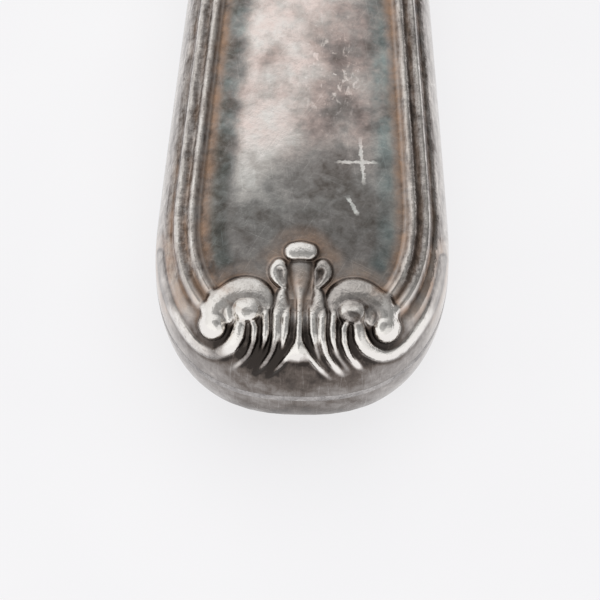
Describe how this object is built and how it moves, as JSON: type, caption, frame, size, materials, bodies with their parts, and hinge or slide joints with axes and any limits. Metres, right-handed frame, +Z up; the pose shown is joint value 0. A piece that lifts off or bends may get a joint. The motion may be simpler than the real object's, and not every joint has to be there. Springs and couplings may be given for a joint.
{
  "type": "cake knife",
  "caption": "Cake knife with a hollow silver handle, thread border and scroll-ended butt, moulded ferrule, and a long serrated steel blade for slicing and serving cake.",
  "frame": {"origin": "middle of the knife's box, on the surface that it lies on", "axes": "+X from the butt of the handle to the tip of the blade, +Y from the cutting edge to the spine, +Z up, square to the blade's flats"},
  "size_m": [0.2942, 0.028, 0.0133],
  "materials": {
    "silver": "tarnished silver plate, worn bright on the high places and brown in the recesses",
    "solder": "dull silver solder",
    "steel": "satin stainless steel",
    "pitch": "dark resin cement"
  },
  "bodies": {
    "root": {"handle_front_shell": "silver", "handle_back_shell": "silver", "ferrule": "silver", "seam_solder": "solder", "ferrule_solder": "solder", "bolster": "steel", "blade": "steel", "pitch_filler": "pitch"}
  },
  "joints": []
}
